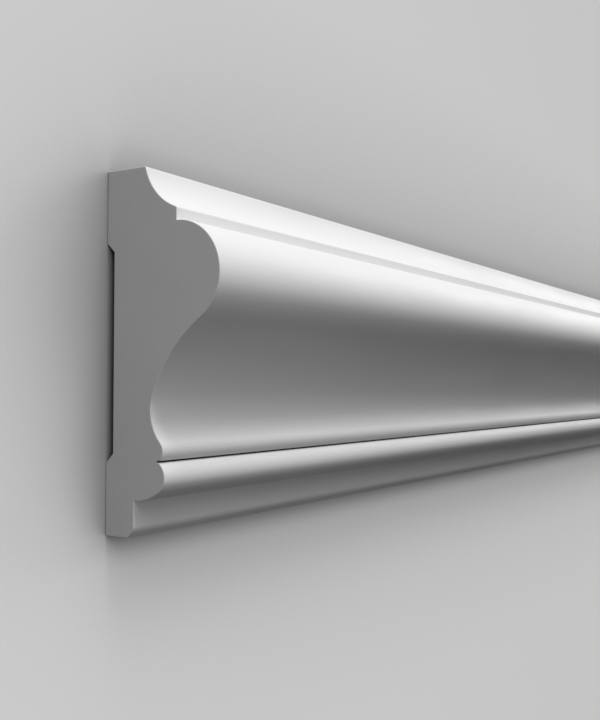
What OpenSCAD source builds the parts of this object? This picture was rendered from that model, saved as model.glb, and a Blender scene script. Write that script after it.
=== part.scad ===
// Wall cornice moulding: one straight length of extruded polystyrene with a flat back.
// The section lies in depth (out from the wall) and level (up the wall).
// The length runs along X, the upper edge faces +Y and the show side faces +Z.
// The back rests on z = 0, and the origin is the middle of the footprint.

/* [Moulding] */
// Length of the piece, cut square at both ends
length = 2000; // [200:10:2400]
// Height up the wall, from the lower edge to the upper edge
height = 80; // [64:0.5:96]

/* [Upper members] */
// Depth of the flat upper edge, from the wall to the cove
top_depth = 10.8; // [9:0.1:13]
// Radius of the hollow cove below the upper edge
cove_radius = 13.1; // [9:0.1:20]
// Height of the cove, from the upper edge down to the fillet
cove_height = 9.5; // [7:0.1:11]
// Distance of the upper fillet's face from the wall
fillet_depth = 19.4; // [17:0.1:21]
// Height of the upper fillet's face
fillet_height = 2.8; // [1:0.1:4]
// Radius of the ovolo, the large round that stands out furthest
ovolo_radius = 11.3; // [10:0.1:12.5]

/* [Scotia] */
// Radius of the long sweep below the ovolo, as a share of the distance between the rounds it joins
sweep_share = 1.15; // [1:0.005:1.4]
// Radius of the tighter hollow at the foot of the sweep
scotia_radius = 10; // [8:0.1:12]
// Thickness of the moulding at the deepest line of the hollow
scotia_depth = 12.6; // [10:0.1:14]
// Level of that deepest line above the lower edge
scotia_level = 27.6; // [26:0.1:30]

/* [Lip and bead] */
// Distance of the lip's nose from the wall
lip_depth = 16; // [14:0.1:18]
// Radius of the lip below the hollow
lip_radius = 2.8; // [2:0.1:3.5]
// Distance of the bead's nose from the wall
bead_depth = 16.5; // [14.5:0.1:18]
// Radius of the bead's nose
bead_radius = 3.9; // [3.4:0.1:4.4]
// Radius of the bead's flatter underside, as a share of how far the bead overhangs the foot
under_share = 1.38; // [1.1:0.005:1.8]
// Width of the quirk, the fine groove that parts the lip from the bead
quirk_width = 0.4; // [0.2:0.05:0.8]
// Depth of the quirk, in from where the lip and the bead meet
quirk_depth = 0.2; // [0.1:0.05:1]

/* [Foot] */
// Height of the lower fillet's face, chamfer included
foot_height = 8; // [5:0.1:9]
// Distance of the lower fillet's face from the wall
foot_depth = 8.1; // [6:0.1:9.5]
// Size of the chamfer along the lower front edge
foot_chamfer = 1.8; // [0.5:0.1:4]

/* [Back] */
// Height of each of the two flat pads that take the adhesive
pad_height = 16; // [8:0.5:24]
// Depth of the shallow relief between the pads, with sides at 45 degrees
relief_depth = 2; // [0.5:0.1:3]

/* [Hidden] */
$fn = 180;
// Levels of the two edges and of the member lines
top = height / 2;
bottom = -height / 2;
fillet_top = top - cove_height;
ovolo_top = fillet_top - fillet_height;
foot_top = bottom + foot_height;
// Height from the top of the ovolo down to the deepest line of the hollow
room = ovolo_top - bottom - scotia_level;
// Share of that height that the two rounds may fill, which leaves the rest to the sweep
room_share = 0.95;
// Where a low moulding leaves less, both rounds are drawn smaller alike
round_scale = min(1, room_share * room / (2 * ovolo_radius + scotia_radius));
ovolo_r = ovolo_radius * round_scale;
scotia_r = scotia_radius * round_scale;
// Share of the quirk's width that lies above the level that it is set out from
quirk_share = 0.85;
// Reach of a cut past the surface that it leaves
overrun = 1;

// Amount by which neighbouring arcs overlap, so that they cut each other cleanly
blend = 0.004;

// Point at a distance from one point in the direction of another
function toward(from, to, distance) = from + (to - from) * distance / norm(to - from);

// Centre of a circle of radius r through two points, left of the line from a to b
function centre_through(a, b, r) =
    let (
        half = (b - a) / 2,
        off = sqrt(r * r - half * half),
        side = [-half[1], half[0]] / norm(half)
    )
    a + half + side * off;

// Meeting point of two circles, left of the line from a to b, or between them where they stand apart
function meeting(a, ra, b, rb) =
    let (
        gap = norm(b - a),
        run = (ra * ra - rb * rb + gap * gap) / (2 * gap),
        off = sqrt(max(0, ra * ra - run * run)),
        along = (b - a) / gap,
        side = [-along[1], along[0]]
    )
    a + along * run + side * off;

// Centres of the arcs, each found so that the arc runs smoothly into its neighbours
cove_centre = centre_through([top_depth, top], [fillet_depth, fillet_top], cove_radius);
ovolo_centre = [fillet_depth, ovolo_top - ovolo_r];
scotia_centre = [scotia_depth + scotia_r, bottom + scotia_level];
sweep_r = sweep_share * norm(ovolo_centre - scotia_centre);
sweep_centre = meeting(
    ovolo_centre, ovolo_r + sweep_r - blend,
    scotia_centre, sweep_r - scotia_r + blend
);
lip_side = scotia_centre[0] - lip_depth + lip_radius;
lip_reach = scotia_r + lip_radius - blend;
lip_centre = scotia_centre - [lip_side, sqrt(lip_reach * lip_reach - lip_side * lip_side)];
under_r = under_share * (bead_depth - foot_depth);
under_centre = [foot_depth, foot_top + under_r];
bead_side = bead_depth - bead_radius - foot_depth;
bead_reach = under_r - bead_radius + blend;
bead_centre = under_centre + [bead_side, -sqrt(bead_reach * bead_reach - bead_side * bead_side)];
quirk_mouth = meeting(lip_centre, lip_radius, bead_centre, bead_radius);
// Level that the quirk is set out from: its mouth, or the underside of a lip that overhangs the mouth
quirk_base = quirk_mouth[0] < lip_centre[0] ? lip_centre[1] - lip_radius : quirk_mouth[1];

module disc(centre, radius) {
    translate(centre) circle(r = radius);
}

// Slice of a disc between the directions of two points
module slice(centre, radius, first, second) {
    far = 2 * radius;
    a = toward(centre, first, far);
    b = toward(centre, second, far);
    middle = toward(centre, (a + b) / 2, far);
    intersection() {
        disc(centre, radius);
        polygon([centre, a, middle, b]);
    }
}

// Core of the section: its front edge steps from arc to arc and crosses each pair where they touch
module core() {
    polygon([
        [0, top],
        [fillet_depth, top],
        ovolo_centre,
        toward(sweep_centre, ovolo_centre, sweep_r / 2),
        toward(scotia_centre, lip_centre, scotia_r / 2),
        lip_centre,
        toward(bead_centre, lip_centre, bead_radius / 2),
        [foot_depth, foot_top + under_r / 2],
        [foot_depth, bottom + foot_chamfer],
        [foot_depth - foot_chamfer, bottom],
        [0, bottom]
    ]);
}

// Fine groove that runs level into the piece from where the lip and the bead meet
module quirk() {
    translate([quirk_mouth[0] - quirk_depth, quirk_base - (1 - quirk_share) * quirk_width])
        square([quirk_depth + lip_radius, quirk_width]);
}

// Relief between the two pads on the back
module relief() {
    polygon([
        [-overrun, top - pad_height + overrun],
        [relief_depth, top - pad_height - relief_depth],
        [relief_depth, bottom + pad_height + relief_depth],
        [-overrun, bottom + pad_height - overrun]
    ]);
}

// Straight run of an outline along the piece, and a longer one for what is cut away
module run() {
    linear_extrude(height = length, center = true) children();
}

module cut() {
    linear_extrude(height = length + 2 * overrun, center = true) children();
}

// The round members stand on the core, and the hollow ones are cut out of it
module profile() {
    difference() {
        union() {
            run() core();
            run() disc(ovolo_centre, ovolo_r);
            run() disc(lip_centre, lip_radius);
            run() disc(bead_centre, bead_radius);
            run() slice(under_centre, under_r, bead_centre, [0, bottom]);
        }
        cut() disc(cove_centre, cove_radius);
        cut() slice(sweep_centre, sweep_r, ovolo_centre + [ovolo_r, 0], scotia_centre);
        cut() disc(scotia_centre, scotia_r);
        cut() quirk();
        cut() relief();
    }
}

module moulding() {
    color("white") rotate([0, -90, 0]) profile();
}

moulding();
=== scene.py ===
# %% [markdown]
# # A length of polystyrene wall cornice moulding
#
# The real object is one length of white wall trim, 80 mm high, 31 mm deep and 2 m long.
# It is pushed through a steel die as hot, dense polystyrene foam, cooled, and sawn square.
# So its whole shape is one outline, drawn once and pulled along a straight line.
#
# This lesson loads the exact solid first, as the frame that fixes every size and place.
# Then it draws the same outline with fine arcs, pulls it out, eases its edges,
# and gives it the skin, the sawn ends and the plain studio that show it well.

# %% Load the frame
import math

import bmesh
import bpy
from mathutils import Euler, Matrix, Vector


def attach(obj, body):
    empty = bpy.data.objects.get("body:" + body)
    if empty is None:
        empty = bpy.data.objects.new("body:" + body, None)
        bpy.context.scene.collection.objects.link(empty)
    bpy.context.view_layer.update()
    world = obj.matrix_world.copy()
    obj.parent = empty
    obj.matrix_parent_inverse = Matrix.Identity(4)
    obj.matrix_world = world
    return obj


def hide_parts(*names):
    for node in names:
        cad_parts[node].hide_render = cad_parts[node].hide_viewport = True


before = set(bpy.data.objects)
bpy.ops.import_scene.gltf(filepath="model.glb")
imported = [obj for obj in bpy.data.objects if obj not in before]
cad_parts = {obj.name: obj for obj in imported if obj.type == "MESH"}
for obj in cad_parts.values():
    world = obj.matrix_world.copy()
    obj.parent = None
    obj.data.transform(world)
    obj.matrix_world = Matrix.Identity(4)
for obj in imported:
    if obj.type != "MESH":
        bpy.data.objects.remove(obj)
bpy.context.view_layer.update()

# %% [markdown]
# ## The sizes of the section
#
# A moulding is read from its members, top to bottom: a hollow cove, a narrow flat
# fillet, the big round ovolo, a hollow scotia with a long sweep into it, a small lip,
# a bead, and a plain foot. A very fine groove, the quirk, parts the lip from the bead.
# Each member is a straight line or a part of a circle.
#
# The sizes could be guessed by eye, but then the piece would drift away from the solid.
# They are written here as a drawing gives them: a depth is measured out from the back,
# a level up or down from the middle of the height.

# %% Sizes in metres
MM = 0.001
# Two points closer than this count as one
same_point = 0.01 * MM

length = 2000 * MM
height = 80 * MM
top = height / 2
bottom = -height / 2

top_depth = 10.8 * MM
cove_radius = 13.1 * MM
cove_height = 9.5 * MM
fillet_depth = 19.4 * MM
fillet_height = 2.8 * MM
ovolo_radius = 11.3 * MM
scotia_radius = 10 * MM
scotia_depth = 12.6 * MM
# The level of the hollow's deepest line is measured up from the lower edge
scotia_level = 27.6 * MM
# Radius of the long sweep, as a share of the distance between the rounds it joins
sweep_share = 1.15
lip_depth = 16 * MM
lip_radius = 2.8 * MM
bead_depth = 16.5 * MM
bead_radius = 3.9 * MM
# Radius of the bead's underside, as a share of how far the bead overhangs the foot
under_share = 1.38
quirk_width = 0.4 * MM
quirk_depth = 0.2 * MM
# Share of the quirk's width that lies above the point where lip and bead meet
quirk_share = 0.85
foot_height = 8 * MM
foot_depth = 8.1 * MM
foot_chamfer = 1.8 * MM
pad_height = 16 * MM
relief_depth = 2 * MM

fillet_top = top - cove_height
ovolo_top = fillet_top - fillet_height
foot_top = bottom + foot_height
reach = fillet_depth + ovolo_radius
print(f"the section is {height / MM:.0f} mm high and {reach / MM:.1f} mm deep")

# %% [markdown]
# ## Where the circles have their centres
#
# On the real moulding one curve flows into the next with no corner between them. Two
# circles do that when they touch at one point, and that point lies on the line
# through their two centres.
#
# The centres could be nudged until the curves look smooth. It is quicker and exact to
# work them out: two circles that touch from outside have centres as far apart as
# their radii together, and two that touch from inside, as far as their difference.

# %% Find the centres
def meeting(a, reach_a, b, reach_b):
    """The point at one reach from a and another from b, on the left of the way from a to b."""
    way = b - a
    gap = way.length
    along = (reach_a ** 2 - reach_b ** 2 + gap ** 2) / (2 * gap)
    aside = math.sqrt(reach_a ** 2 - along ** 2)
    step = way / gap
    return a + step * along + Vector((-step.y, step.x)) * aside


def touch(a, b, reach):
    """The point on the line from a to b at a given reach from a."""
    return a + (b - a).normalized() * reach


cove_start = Vector((top_depth, top))
cove_end = Vector((fillet_depth, fillet_top))
cove = meeting(cove_start, cove_radius, cove_end, cove_radius)
ovolo = Vector((fillet_depth, ovolo_top - ovolo_radius))
scotia = Vector((scotia_depth + scotia_radius, bottom + scotia_level))
sweep_radius = sweep_share * (ovolo - scotia).length
sweep = meeting(ovolo, ovolo_radius + sweep_radius, scotia, sweep_radius - scotia_radius)
lip_side = scotia.x - lip_depth + lip_radius
lip = scotia - Vector((lip_side, math.sqrt((scotia_radius + lip_radius) ** 2 - lip_side ** 2)))
under_radius = under_share * (bead_depth - foot_depth)
under = Vector((foot_depth, foot_top + under_radius))
bead_side = bead_depth - bead_radius - foot_depth
bead = under + Vector((bead_side, -math.sqrt((under_radius - bead_radius) ** 2 - bead_side ** 2)))
quirk_mouth = meeting(lip, lip_radius, bead, bead_radius)

for name, point in (("cove", cove), ("ovolo", ovolo), ("sweep", sweep), ("scotia", scotia),
                    ("lip", lip), ("bead", bead), ("underside", under), ("quirk", quirk_mouth)):
    print(f"{name}: depth {point.x / MM:.2f} mm, level {point.y / MM:.2f} mm")

# %% [markdown]
# ## Draw the outline with a pen
#
# The outline could be built from solid blocks and cylinders that are joined and cut.
# That leaves thin slivers on the ends. A cleaner way is to draw it: one point is
# placed at the upper back corner, then straight lines are extruded from it and arcs
# are spun from it, so the points lie in good order all the way round.
#
# A plane is the first thing at hand. Merged at its centre, it becomes that one point.
# With no window open, Spin turns against the right-hand rule, so its angle is negated.

# %% The pen
near_x = -length / 2
pen = Vector((0, top))


def start_pen(point):
    """Starts a new mesh with one point, and leaves it open in edit mode."""
    bpy.ops.object.select_all(action="DESELECT")
    bpy.ops.mesh.primitive_plane_add(size=MM, location=(near_x, point.y, point.x))
    bpy.ops.object.mode_set(mode="EDIT")
    bpy.ops.mesh.select_all(action="SELECT")
    bpy.ops.mesh.merge(type="CENTER")
    pen.xy = point


def line_to(point):
    """Draws a straight line from where the pen is."""
    step = point - pen
    bpy.ops.mesh.extrude_region_move(TRANSFORM_OT_translate={"value": (0, step.y, step.x)})
    pen.xy = point


def arc_to(point, centre, facet_degrees=4):
    """Draws the shorter arc about a centre, and returns how many flats it has."""
    before = math.atan2(pen.x - centre.x, pen.y - centre.y)
    after = math.atan2(point.x - centre.x, point.y - centre.y)
    turn = (after - before + math.pi) % (2 * math.pi) - math.pi
    steps = max(2, round(abs(math.degrees(turn)) / facet_degrees))
    bpy.ops.mesh.spin(steps=steps, angle=-turn, center=(near_x, centre.y, centre.x), axis=(1, 0, 0))
    pen.xy = point
    return steps


print(f"the pen draws on the near end, {abs(near_x) / MM:.0f} mm from the middle of the length")

# %% [markdown]
# ## The fine groove between lip and bead
#
# The quirk is cut level into the piece where the lip and the bead meet. It is only
# 0.4 mm wide, and little light reaches its floor; its inner faces are also painted dark
# as shade further down. So it draws the one dark line that the eye follows along the
# whole moulding. A line painted on the two rounds would have no edge of its own. A
# groove breaks the outline too, and the sawn end shows its notch.

# %% The two edges of the quirk's mouth
quirk_low = quirk_mouth.y - (1 - quirk_share) * quirk_width
quirk_high = quirk_low + quirk_width
quirk_floor = quirk_mouth.x - quirk_depth


def face_of(centre, radius, level):
    """The point of a round's outer face at a level."""
    return Vector((centre.x + math.sqrt(radius ** 2 - (level - centre.y) ** 2), level))


on_lip = face_of(lip, lip_radius, quirk_high)
on_bead = face_of(bead, bead_radius, quirk_low)
print(f"the quirk is {(on_lip.x - quirk_floor) / MM:.2f} mm deep under the lip,",
      f"{(on_bead.x - quirk_floor) / MM:.2f} mm over the bead")

# %% [markdown]
# ## The show side
#
# The outline could be laid out point by point, but no one could read such a list, and a
# change would move every point. Here each member is one line of the script, in the order
# in which the eye meets it. Small rounds get wider flats, as they need fewer of them,
# and the long sweep gets narrow ones, because light runs along it for longer.

# %% Draw the show side, from the upper edge down to the foot
foot_edge = Vector((foot_depth, bottom + foot_chamfer))

start_pen(Vector((0, top)))
moulding = bpy.context.object
moulding.name = "wall_moulding"
line_to(cove_start)
flats = arc_to(cove_end, cove)
line_to(Vector((fillet_depth, ovolo_top)))
flats += arc_to(touch(ovolo, sweep, ovolo_radius), ovolo)
flats += arc_to(touch(sweep, scotia, sweep_radius), sweep, facet_degrees=2)
flats += arc_to(touch(scotia, lip, scotia_radius), scotia)
flats += arc_to(on_lip, lip, facet_degrees=7)
line_to(Vector((quirk_floor, quirk_high)))
line_to(Vector((quirk_floor, quirk_low)))
line_to(on_bead)
flats += arc_to(touch(under, bead, under_radius), bead, facet_degrees=6)
flats += arc_to(Vector((foot_depth, foot_top)), under)
line_to(foot_edge)
line_to(Vector((foot_depth - foot_chamfer, bottom)))
line_to(Vector((0, bottom)))
print("flats in the curved members:", flats)

# %% [markdown]
# ## The back
#
# What such a moulding is glued to is never quite flat, so its back rests only on two
# pads, one along each edge. Between them it is let in by 2 mm, with slanted sides. The
# recess could be cut out of a finished block. As part of the outline it takes four more
# lines, and its corners are clean.

# %% Draw the back and fill the outline
line_to(Vector((0, bottom + pad_height)))
line_to(Vector((relief_depth, bottom + pad_height + relief_depth)))
line_to(Vector((relief_depth, top - pad_height - relief_depth)))
line_to(Vector((0, top - pad_height)))
line_to(Vector((0, top)))
bpy.ops.mesh.select_all(action="SELECT")
bpy.ops.mesh.remove_doubles(threshold=same_point)
bpy.ops.mesh.select_all(action="SELECT")
bpy.ops.mesh.edge_face_add()
print("corners of the outline:", len(bmesh.from_edit_mesh(moulding.data).verts))

# %% [markdown]
# ## Pull the outline out to its length
#
# This is what the die does to the foam. The filled outline is extruded 2 m along X.
# The face normals are then recalculated, so that they all point out of the piece.

# %% Extrude along the length
bpy.ops.mesh.select_all(action="SELECT")
bpy.ops.mesh.extrude_region_move(TRANSFORM_OT_translate={"value": (length, 0, 0)})
bpy.ops.mesh.select_all(action="SELECT")
bpy.ops.mesh.normals_make_consistent(inside=False)
bpy.ops.object.mode_set(mode="OBJECT")
bpy.ops.object.transform_apply(location=True, rotation=True, scale=True)

shape = bmesh.new()
shape.from_mesh(moulding.data)
print("faces", len(shape.faces), "open edges", sum(not e.is_manifold for e in shape.edges),
      "volume in litres", round(shape.calc_volume() * 1000, 4))
shape.free()

# %% [markdown]
# ## Ease the edges
#
# No real edge is a perfect knife edge. The die leaves the long edges very slightly
# round, the front edge of the foot a little more so, and the saw leaves the edges of the
# cut ends crisper again. These tiny rounds catch the light along the outline, and they
# make a render look like an object and not like a drawing.
#
# Each edge could be filed by a selection of its own and the Bevel tool. A Bevel modifier
# led by edge weights does the same in one go, and the weight sets how round each is.
# The edges are picked in code: the ends by their place, the long ones by how sharply
# their two faces meet. Edges that fold inwards, such as the quirk's inner corners, stay
# sharp, and its mouth is eased only a little, or the fine dark line would blur.

# %% Weigh the edges that are eased
foot_ease = 0.8 * MM
long_ease = 0.3 * MM
saw_ease = 0.18 * MM
mouth_ease = 0.05 * MM
# Two faces that meet more steeply than this have an edge and aren't parts of one curve
edge_degrees = 25


def weigh(pick, weight):
    """Selects the edges that pick agrees to, and gives them a bevel weight."""
    bpy.ops.object.mode_set(mode="EDIT")
    bpy.ops.mesh.select_mode(type="EDGE")
    bpy.ops.mesh.select_all(action="DESELECT")
    view = bmesh.from_edit_mesh(moulding.data)
    for edge in view.edges:
        edge.select_set(pick(edge))
    view.select_flush_mode()
    count = sum(edge.select for edge in view.edges)
    bmesh.update_edit_mesh(moulding.data)
    bpy.ops.transform.edge_bevelweight(value=weight)
    bpy.ops.object.mode_set(mode="OBJECT")
    return count


def on_an_end(edge):
    """Whether an edge runs across the piece, which only those of the two sawn ends do."""
    a, b = (corner.co.x for corner in edge.verts)
    return abs(a - b) < MM


def runs_through(edge, *points):
    """Whether a long edge starts from one of some points of the outline."""
    place = Vector((edge.verts[0].co.z, edge.verts[0].co.y))
    return not on_an_end(edge) and any((place - point).length < same_point for point in points)


def at_quirk_mouth(edge):
    """Whether an edge is one of the two along the quirk's mouth."""
    return runs_through(edge, on_lip, on_bead)


def foot_front(edge):
    """Whether an edge is the one along the front of the foot."""
    return runs_through(edge, foot_edge)


def long_arris(edge):
    """Whether an edge is any other long one that stands out."""
    sharp = math.degrees(edge.calc_face_angle_signed()) > edge_degrees
    return sharp and not (on_an_end(edge) or at_quirk_mouth(edge) or foot_front(edge))


print("edges on the sawn ends:", weigh(on_an_end, saw_ease / foot_ease))
print("edges of the quirk's mouth:", weigh(at_quirk_mouth, mouth_ease / foot_ease))
print("long edges:", weigh(long_arris, long_ease / foot_ease))
print("front edge of the foot:", weigh(foot_front, 1.0))

# %% Round them
ease = moulding.modifiers.new("Eased edges", "BEVEL")
ease.width = foot_ease
ease.segments = 3
ease.limit_method = "WEIGHT"
bpy.ops.object.modifier_apply(modifier=ease.name)
print("faces after easing:", len(moulding.data.polygons))

# %% [markdown]
# ## Shade the curves smooth and keep the flats flat
#
# The curves are made of narrow flats. Smooth shading hides the steps between them, but
# it would also bend the light on the true flats next to a small round. The Weighted
# Normal modifier lets the large faces win, so fillets and pads stay flat to the eye.

# %% Smooth shading
smooth_below = math.radians(38)
bpy.ops.object.shade_smooth_by_angle(angle=smooth_below)
weighted = moulding.modifiers.new("Flats stay flat", "WEIGHTED_NORMAL")
weighted.weight = 100
weighted.keep_sharp = True
bpy.ops.object.modifier_apply(modifier=weighted.name)
print("faces shaded smooth:", sum(face.use_smooth for face in moulding.data.polygons))

# %% [markdown]
# ## Three finishes of one material, and painted shade
#
# The whole piece is one white foam. It shows three finishes, the skin of the show side,
# the sawn ends and the back, and the inside of the quirk is painted dark as shade.
#
# A picture could be laid over each, but a picture has one size and one place. Nodes
# that work on Object coordinates stay sharp at any distance, and they run on round
# the piece with no seam. The patterns are written in real sizes: a scale of 1000 in
# metres is a pattern of about a millimetre. A scale well below 1 along X draws a
# pattern out into the long lines that anything pulled through a die has.

# %% Helpers for the materials
def new_material(name):
    """A material, its node tree and its shader."""
    material = bpy.data.materials.new(name)
    material.use_nodes = True
    tree = material.node_tree
    shader = tree.nodes["Principled BSDF"]
    return material, tree, shader


def add(tree, kind, **inputs):
    """A node with some of its inputs set."""
    node = tree.nodes.new(kind)
    for key, value in inputs.items():
        node.inputs[key.replace("_", " ")].default_value = value
    return node


def stretched(tree, scale=(1, 1, 1)):
    """Object coordinates, stretched by a scale for each direction."""
    place = add(tree, "ShaderNodeTexCoord")
    stretch = add(tree, "ShaderNodeMapping", Scale=scale)
    tree.links.new(place.outputs["Object"], stretch.inputs["Vector"])
    return stretch.outputs["Vector"]


def noise(tree, vector, scale, detail, roughness=0.5):
    """A cloudy pattern, which mostly stays between 0.3 and 0.7."""
    node = add(tree, "ShaderNodeTexNoise", Scale=scale, Detail=detail, Roughness=roughness)
    tree.links.new(vector, node.inputs["Vector"])
    return node.outputs["Fac"]


def remap(tree, pattern, low, high):
    """Turns what a cloudy pattern gives into values between low and high."""
    node = add(tree, "ShaderNodeMapRange", From_Min=0.3, From_Max=0.7, To_Min=low, To_Max=high)
    tree.links.new(pattern, node.inputs["Value"])
    return node.outputs["Result"]


def two_tones(tree, value, first, second):
    """The first colour where a value is 0, the second where it is 1."""
    # Sockets 6 and 7 of a Mix node take its two colours, and output 2 gives the mixed one
    node = tree.nodes.new("ShaderNodeMix")
    node.data_type = "RGBA"
    node.inputs[6].default_value = (*first, 1)
    node.inputs[7].default_value = (*second, 1)
    tree.links.new(value, node.inputs[0])
    return node.outputs[2]


def bumped(tree, height_value, distance, below=None):
    """A bump of a real height in metres, laid over another one if below is given."""
    node = add(tree, "ShaderNodeBump", Strength=1.0, Distance=distance)
    tree.links.new(height_value, node.inputs["Height"])
    if below is not None:
        tree.links.new(below, node.inputs["Normal"])
    return node.outputs["Normal"]


def colour(tree, shader, pattern, first, second):
    """Lets the colour drift between two tones with a cloudy pattern."""
    tones = two_tones(tree, remap(tree, pattern, 0, 1), first, second)
    tree.links.new(tones, shader.inputs["Base Color"])


print("the helpers for the materials are ready")

# %% [markdown]
# ### The silky skin
#
# The polished die closes the cells on the outside, so the show side is smooth and silky
# matt. A plain white would look like plaster. What makes it foam is very little: the
# tone drifts by a hair over a hand's width, the sheen changes along the piece, and
# there is a faint peel with fine drag lines. The gloss is kept very low, because at a
# flat angle it would mirror the bright floor and lighten the shaded members.

# %% The silky skin of the show side
skin, tree, shader = new_material("silky_foam_skin")
patches = noise(tree, stretched(tree, (1, 3, 3)), 14, 3)
colour(tree, shader, patches, (0.80, 0.80, 0.796), (0.825, 0.825, 0.822))
sheen = noise(tree, stretched(tree, (0.15, 1, 1)), 160, 3)
tree.links.new(remap(tree, sheen, 0.56, 0.66), shader.inputs["Roughness"])
shader.inputs["Specular IOR Level"].default_value = 0.06
peel = noise(tree, stretched(tree, (0.6, 1, 1)), 650, 2)
drag = noise(tree, stretched(tree, (0.004, 1, 1)), 1800, 3, 0.6)
peel_bump = bumped(tree, peel, 0.012 * MM)
tree.links.new(bumped(tree, drag, 0.014 * MM, peel_bump), shader.inputs["Normal"])
print("the skin is ready: a faint peel, with drag lines along X")

# %% [markdown]
# ### The sawn ends
#
# The saw opens the foam. Up close the face is a field of cells of about a third of a
# millimetre, crossed by faint strokes of the blade. Real holes would need thousands of
# faces that no one sees from a metre away, so a Voronoi pattern gives the cells and a
# noise that is drawn out along Y gives the strokes, both as a very shallow bump.

# %% The sawn ends
sawn, tree, shader = new_material("sawn_foam_end")
cells = add(tree, "ShaderNodeTexVoronoi", Scale=3200)
tree.links.new(stretched(tree), cells.inputs["Vector"])
strokes = noise(tree, stretched(tree, (1, 0.05, 1)), 900, 3, 0.6)
clouds = noise(tree, stretched(tree), 90, 4)
colour(tree, shader, clouds, (0.785, 0.785, 0.78), (0.81, 0.81, 0.805))
shader.inputs["Roughness"].default_value = 0.85
grain = bumped(tree, cells.outputs["Distance"], 0.012 * MM)
tree.links.new(bumped(tree, strokes, 0.010 * MM, grain), shader.inputs["Normal"])
print("the sawn ends are ready: about three cells to the millimetre")

# %% [markdown]
# ### The dull back
#
# No one sees the back once it is glued, so the die is left rougher there. The bands are
# the same kind of drag line as on the skin, only coarser, and they drive the colour, the
# roughness and the bump together, as one real scratch would. A fine grip lies under them.

# %% The dull back
back, tree, shader = new_material("dull_foam_back")
bands = noise(tree, stretched(tree, (0.01, 1, 1)), 700, 4, 0.65)
colour(tree, shader, bands, (0.74, 0.74, 0.73), (0.79, 0.79, 0.785))
tree.links.new(remap(tree, bands, 0.62, 0.78), shader.inputs["Roughness"])
grip = noise(tree, stretched(tree), 1500, 3)
grip_bump = bumped(tree, grip, 0.03 * MM)
tree.links.new(bumped(tree, bands, 0.04 * MM, grip_bump), shader.inputs["Normal"])
print("the back is ready: drag lines over a fine grip")

# %% [markdown]
# ### Painted shade inside the quirk
#
# White foam throws so much light about that even a narrow groove would stay grey. The
# groove could be made much deeper, but then the notch on the sawn end would be too long.
# Its few inner faces get a near-black colour instead, which is painted shade, with a faint
# rough bump.

# %% Painted shade inside the quirk
quirk_shade, tree, shader = new_material("painted_shade_quirk")
pits = noise(tree, stretched(tree, (0.2, 1, 1)), 2500, 3, 0.6)
# near-black colour: painted shade in the quirk's groove
colour(tree, shader, pits, (0.06, 0.06, 0.059), (0.11, 0.11, 0.108))
shader.inputs["Roughness"].default_value = 0.95
shader.inputs["Specular IOR Level"].default_value = 0.1
tree.links.new(bumped(tree, pits, 0.05 * MM), shader.inputs["Normal"])
print("the quirk's inside is ready")

# %% [markdown]
# ### Each face gets its finish
#
# The finishes could be painted on by hand, face by face. The faces are picked in code
# instead, by where they lie and where they point, so the choice still holds when a
# size changes: what points along X is sawn, what points down close to the floor is the
# back, and what lies between the two edges of the quirk is its inside, which gets the
# painted shade. The rest is skin.

# %% Give each face its finish
SKIN, SAWN, BACK, QUIRK_SHADE = range(4)
for material in (skin, sawn, back, quirk_shade):
    moulding.data.materials.append(material)


def finish_of(face):
    """Which of the four materials a face gets: three finishes or the quirk's painted shade."""
    depth, level = face.center.z, face.center.y
    slack = 0.01 * quirk_width
    in_quirk = quirk_low - slack < level < quirk_high + slack
    if abs(face.normal.x) > 0.9:
        return SAWN
    if depth < relief_depth + 0.1 * MM and face.normal.z < -0.5:
        return BACK
    # faces inside the quirk get the painted shade
    if in_quirk and depth < (on_bead.x + on_lip.x) / 2:
        return QUIRK_SHADE
    return SKIN


for face in moulding.data.polygons:
    face.material_index = finish_of(face)
chosen = [face.material_index for face in moulding.data.polygons]
for finish, material in enumerate((skin, sawn, back, quirk_shade)):
    print(f"{material.name}: {chosen.count(finish)} faces")

# %% [markdown]
# ## Tell the frame what the piece stands for
#
# The drawn piece takes the place of the exact solid in the picture and keeps its body.
# The solid stays behind it for weight and contact.

# %% Hand the piece over
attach(moulding, "root")
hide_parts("moulding")
print(moulding.name, "rides on the root and stands for the exact solid")

# %% [markdown]
# ## The floor
#
# The piece lies on its back on a plain pale floor. The floor could simply be lit until
# it is white, but that would wash out the white foam as well. So its brightness comes
# from its own colour and from a faint glow, and the light that it throws back up is kept
# low, which lets the undersides of the members stay grey and readable. The Light Path
# node tells the two apart: what is seen straight on, in a gloss or through glass, and
# what only lights.
#
# An even glow would also lift the shadow under the piece. The Ambient Occlusion node
# dims it wherever something stands close over the floor, and its third power makes that
# shade deep right beside the piece and soon gone further out. The floor is large and
# has no gloss, so from no side does its far edge stand out against the sky.

# %% Lay the floor
bpy.ops.object.select_all(action="DESELECT")
floor_size = 80
bpy.ops.mesh.primitive_plane_add(size=floor_size, location=(0, 0, -0.05 * MM))
floor = bpy.context.object
floor.name = "floor"
bpy.ops.object.transform_apply(location=True)
print("a plain floor,", floor_size, "m wide")


# %% Tell what is seen from what only lights
def calculated(tree, operation, first, second):
    """The result of a sum with one node's value and another's, or a plain number."""
    node = tree.nodes.new("ShaderNodeMath")
    node.operation = operation
    tree.links.new(first, node.inputs[0])
    if isinstance(second, (int, float)):
        node.inputs[1].default_value = second
    else:
        tree.links.new(second, node.inputs[1])
    return node.outputs[0]


def seen_directly(tree):
    """1 for what the camera sees, in a gloss or through glass too, and 0 for light thrown."""
    path = tree.nodes.new("ShaderNodeLightPath")
    seen = path.outputs["Is Camera Ray"]
    for kind in ("Is Glossy Ray", "Is Transmission Ray"):
        seen = calculated(tree, "MAXIMUM", seen, path.outputs[kind])
    return seen


print("light path helper ready")

# %% The floor's finish
throws_back = (0.08, 0.08, 0.08)
looks = (0.28, 0.28, 0.279)
glows = (0.42, 0.42, 0.418, 1)
shade_reach = 80 * MM

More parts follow.
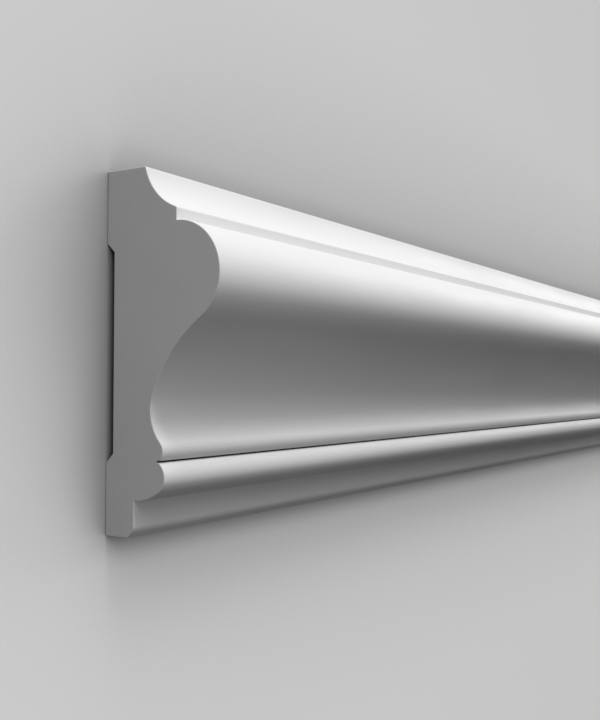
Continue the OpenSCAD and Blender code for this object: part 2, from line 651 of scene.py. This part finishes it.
pale, tree, shader = new_material("pale_floor")
seen = seen_directly(tree)
tree.links.new(two_tones(tree, seen, throws_back, looks), shader.inputs["Base Color"])
shader.inputs["Roughness"].default_value = 0.9
shader.inputs["Specular IOR Level"].default_value = 0
shader.inputs["Emission Color"].default_value = glows
openness = add(tree, "ShaderNodeAmbientOcclusion", Distance=shade_reach)
shade = calculated(tree, "POWER", openness.outputs["AO"], 3)
tree.links.new(calculated(tree, "MULTIPLY", seen, shade), shader.inputs["Emission Strength"])
floor.data.materials.append(pale)
print("the floor is pale and throws little light back")

# %% [markdown]
# ## The light
#
# A moulding is shown by its shadows. The main lamp is broad and soft and stands beyond
# the upper edge, 22 degrees above the floor: the cove and the tops of the rounds are
# bright, and what faces down turns grey. A second one, beyond the far end, adds to the
# same side. Both are sun lamps, which light the whole length alike, and their wide angle
# makes the shadows soft.
#
# More sun lamps from the other side would open up the shaded members, but they would
# also take the depth out of them. Soft boxes stand close by the piece instead, and
# their light fades along it. One over the near end opens the hollow and the foot, a
# second one lifts the sawn end, and a long low one shows the foot's side of the far
# half. A very dim, even sky fills what is left.

# %% Lamps
def add_lamp(kind, name, energy, aside, tilt, distance, aim=(0, 0, 0)):
    """A lamp, tilted from straight above towards +Y, then moved aside towards +X."""
    aside, tilt = math.radians(aside), math.radians(tilt)
    upright = math.cos(aside)
    toward_lamp = Vector((math.sin(aside), upright * math.sin(tilt), upright * math.cos(tilt)))
    bpy.ops.object.light_add(type=kind, location=Vector(aim) + toward_lamp * distance)
    lamp = bpy.context.object
    lamp.name = name
    lamp.rotation_euler = toward_lamp.to_track_quat("Z", "Y").to_euler()
    lamp.data.energy = energy
    return lamp


soft_angle = math.radians(24)
for name, energy, aside, tilt in (("key", 2.28, 0, 68), ("far side", 1.6, 65, 55)):
    sun = add_lamp("SUN", name, energy, aside, tilt, distance=3)
    sun.data.angle = soft_angle
    print(f"{name}: strength {energy}")


# %% Soft boxes
def add_soft_box(name, energy, width, depth, **place):
    """An area lamp that gives light but isn't seen itself."""
    box = add_lamp("AREA", name, energy, **place)
    box.data.shape = "RECTANGLE"
    box.data.size = width
    box.data.size_y = depth
    box.visible_camera = False
    print(f"{name}: {energy} W from {width} x {depth} m")


mid_depth = 15 * MM
near_end = (near_x, 0, mid_depth)
far_half = (length / 4, 0, mid_depth)
add_soft_box("near box", 0.35, 0.4, 0.15, aside=-35, tilt=0, distance=0.4, aim=near_end)
add_soft_box("end box", 0.58, 0.3, 0.3, aside=-33, tilt=49, distance=0.63, aim=near_end)
add_soft_box("foot box", 1.3, 1.1, 0.12, aside=0, tilt=-52, distance=0.36, aim=far_half)

# %% Sky
fill = (0.03, 0.03, 0.03)
same_as_floor = (0.54, 0.54, 0.538)

sky = bpy.data.worlds.new("sky")
bpy.context.scene.world = sky
sky.use_nodes = True
tree = sky.node_tree
tones = two_tones(tree, seen_directly(tree), fill, same_as_floor)
tree.links.new(tones, tree.nodes["Background"].inputs["Color"])
print("the sky lights with", fill[0], "and looks like the floor")

# %% [markdown]
# ## The camera
#
# The camera looks along the piece from beyond the cut end and from above its show side,
# with the upper edge up in the picture. It could be moved about until the picture looks
# right, but place, turn and lens all change the same lines. They were worked out
# instead, from the point where the long edges meet far away and from the square section.

# %% Place the camera
camera_place = (-1.15816, -0.00735, 0.14756)
turned_degrees = (1.3707, -58.3153, 0.253)

bpy.ops.object.camera_add(location=camera_place)
camera = bpy.context.object
camera.rotation_euler = Euler([math.radians(angle) for angle in turned_degrees], "XYZ")
camera.data.lens = 48.308
camera.data.sensor_width = 36
camera.data.clip_start = 0.01
camera.data.clip_end = 100
bpy.context.scene.camera = camera
print("the camera has a", round(camera.data.lens), "mm lens")

# %% [markdown]
# ## Colour as written
#
# The standard view shows a colour as it is written, with no film look laid over it.

# %% Colour as written
bpy.context.scene.view_settings.view_transform = "Standard"
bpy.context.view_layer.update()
